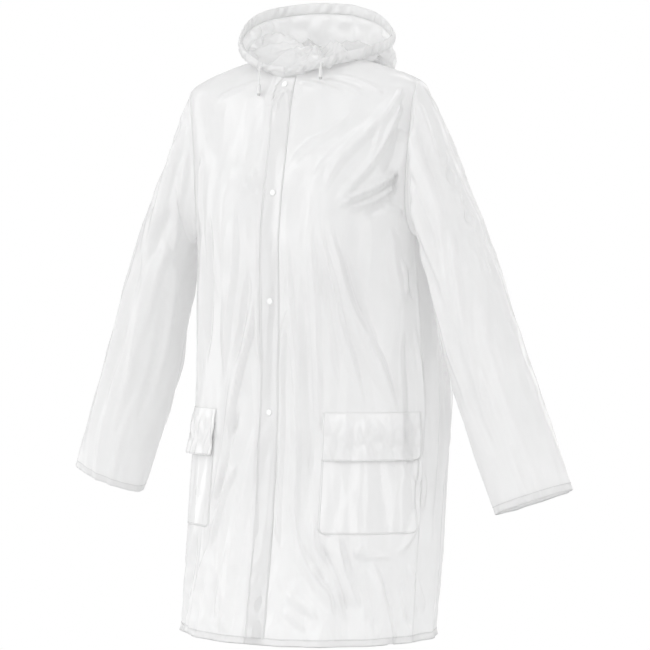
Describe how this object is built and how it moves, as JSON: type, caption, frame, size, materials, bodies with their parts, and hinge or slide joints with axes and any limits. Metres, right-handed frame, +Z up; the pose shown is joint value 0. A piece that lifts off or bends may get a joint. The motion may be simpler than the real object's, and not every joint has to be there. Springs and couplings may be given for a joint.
{
  "type": "hooded raincoat",
  "caption": "Thin translucent vinyl raincoat in its worn shape, hollow, with a hood let down behind the neck, a snap placket and flapped patch pockets.",
  "frame": {"origin": "midway between the two shoulder tips, where a wearer's shoulders hold the coat up", "axes": "+Z up; the front faces -Y; +X is the wearer's left"},
  "size_m": [0.964, 0.3687, 1.0561],
  "materials": {
    "frosted_film": "frosted, soft gloss, translucent",
    "white_plastic": "moulded, semi-gloss",
    "white_cord": "matt braid"
  },
  "bodies": {
    "root": {"back": "frosted_film", "front_left": "frosted_film", "front_right": "frosted_film", "placket": "frosted_film", "sleeve_left": "frosted_film", "sleeve_right": "frosted_film", "hood_left": "frosted_film", "hood_right": "frosted_film", "hood_casing": "frosted_film", "pocket_left": "frosted_film", "pocket_right": "frosted_film", "flap_left": "frosted_film", "flap_right": "frosted_film", "snap_1": "white_plastic", "snap_2": "white_plastic", "snap_3": "white_plastic", "snap_4": "white_plastic", "drawcord_left": "white_cord", "drawcord_right": "white_cord", "cord_end_left": "white_plastic", "cord_end_right": "white_plastic"}
  },
  "joints": []
}
